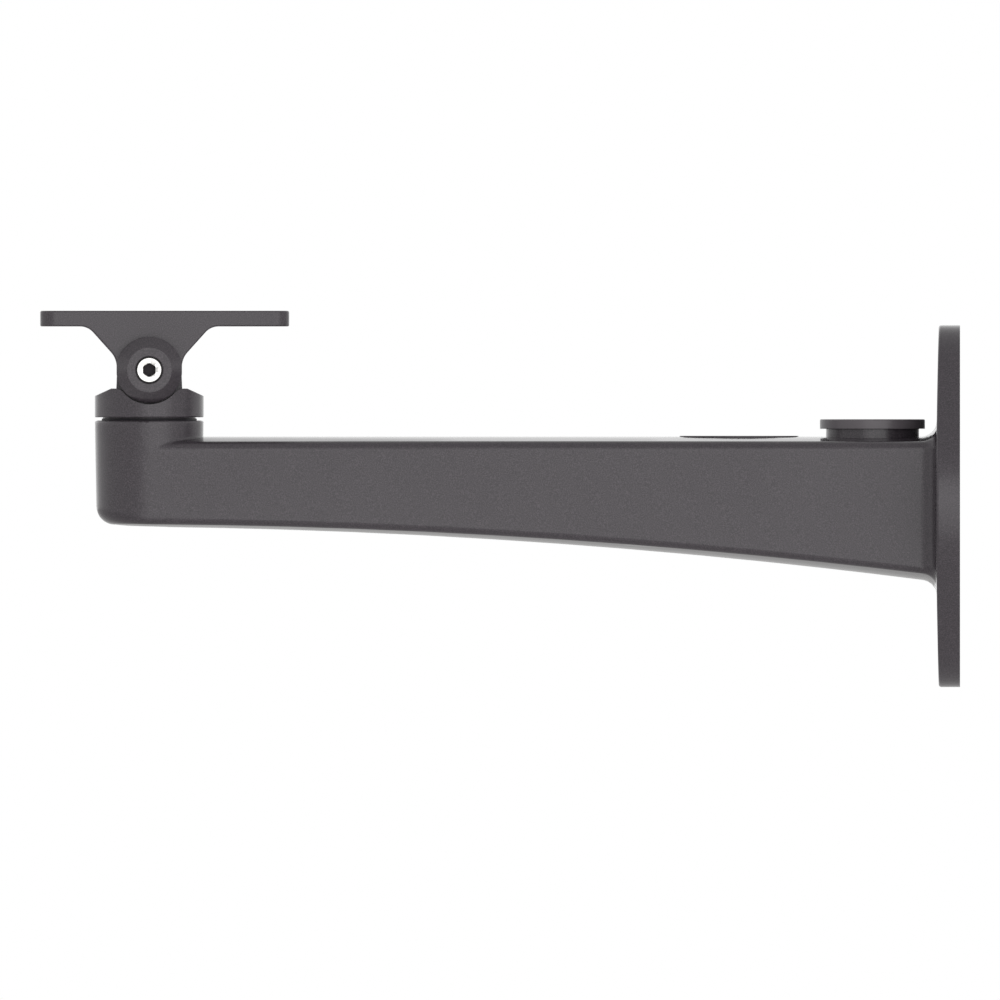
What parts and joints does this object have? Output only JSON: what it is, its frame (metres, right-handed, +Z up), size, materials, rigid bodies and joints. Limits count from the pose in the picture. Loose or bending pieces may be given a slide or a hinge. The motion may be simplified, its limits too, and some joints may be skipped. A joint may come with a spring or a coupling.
{
  "type": "camera bracket",
  "caption": "Wall bracket for a camera housing: a bowed hollow arm on a rhombic wall plate, with a swivelling base and a tilting slotted plate at its free end.",
  "frame": {"origin": "middle of the wall plate's back face", "axes": "+X into the wall, the arm runs along -X, +Z up"},
  "size_m": [0.3771, 0.118, 0.1543],
  "materials": {
    "coated_casting": "fine textured powder coat, charcoal",
    "cap_plastic": "smooth moulded, charcoal",
    "seal_rubber": "matt black",
    "friction_plastic": "smooth black",
    "stainless_steel": "bright"
  },
  "bodies": {
    "arm": {"arm_casting": "coated_casting", "entry_cap": "cap_plastic", "entry_seal": "seal_rubber", "swivel_friction_ring": "friction_plastic"},
    "swivel": {"swivel_base": "coated_casting", "swivel_screw": "stainless_steel", "swivel_spring_washer": "stainless_steel"},
    "head": {"tilt_head": "coated_casting", "tilt_screw": "stainless_steel", "tilt_spring_washer": "stainless_steel", "tilt_nut": "stainless_steel", "tilt_friction_washer_near": "friction_plastic", "tilt_friction_washer_far": "friction_plastic"}
  },
  "joints": [
    {"name": "pan", "type": "hinge", "parent": "arm", "child": "swivel", "pos_m": [-0.3324, 0, 0.0355], "axis": [0, 0, 1], "continuous": true},
    {"name": "tilt", "type": "hinge", "parent": "swivel", "child": "head", "pos_m": [-0.3324, 0, 0.0558], "axis": [0, 1, 0], "range_deg": [-40, 40]}
  ]
}
